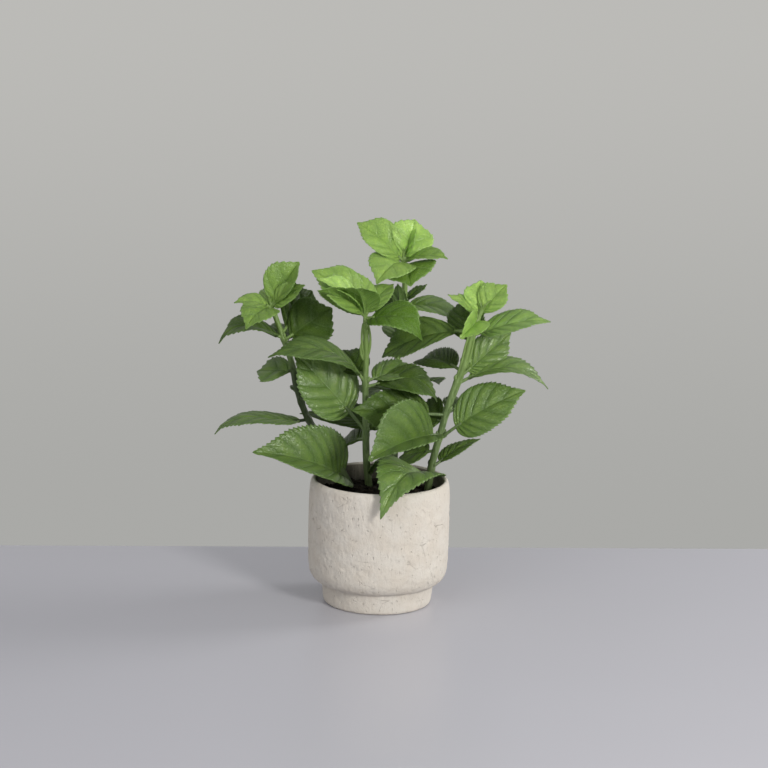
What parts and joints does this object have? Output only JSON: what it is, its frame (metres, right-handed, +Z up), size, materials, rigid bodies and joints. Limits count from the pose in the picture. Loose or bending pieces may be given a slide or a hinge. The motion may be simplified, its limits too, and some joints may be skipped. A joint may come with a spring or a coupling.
{
  "type": "potted herb",
  "caption": "Leafy mint plant with serrated leaves and pale young tips on upright stems, in a thick round cream stoneware pot with a stepped foot.",
  "frame": {"origin": "centre of the flat underside of the pot's foot, which rests on the table", "axes": "+Z is up along the pot's axis, -Y is the side that the picture shows, +X is to the right in the picture"},
  "size_m": [0.2357, 0.1538, 0.2697],
  "materials": {
    "stoneware": "matte",
    "soil": "matte",
    "mature_leaf": "satin",
    "young_leaf": "satin"
  },
  "bodies": {
    "root": {"pot": "stoneware", "soil": "soil", "front_stem": "mature_leaf", "right_stem": "mature_leaf", "back_stem": "mature_leaf", "left_stem": "mature_leaf", "front_tip": "young_leaf", "right_tip": "young_leaf", "back_tip": "young_leaf", "left_tip": "young_leaf"}
  },
  "joints": []
}
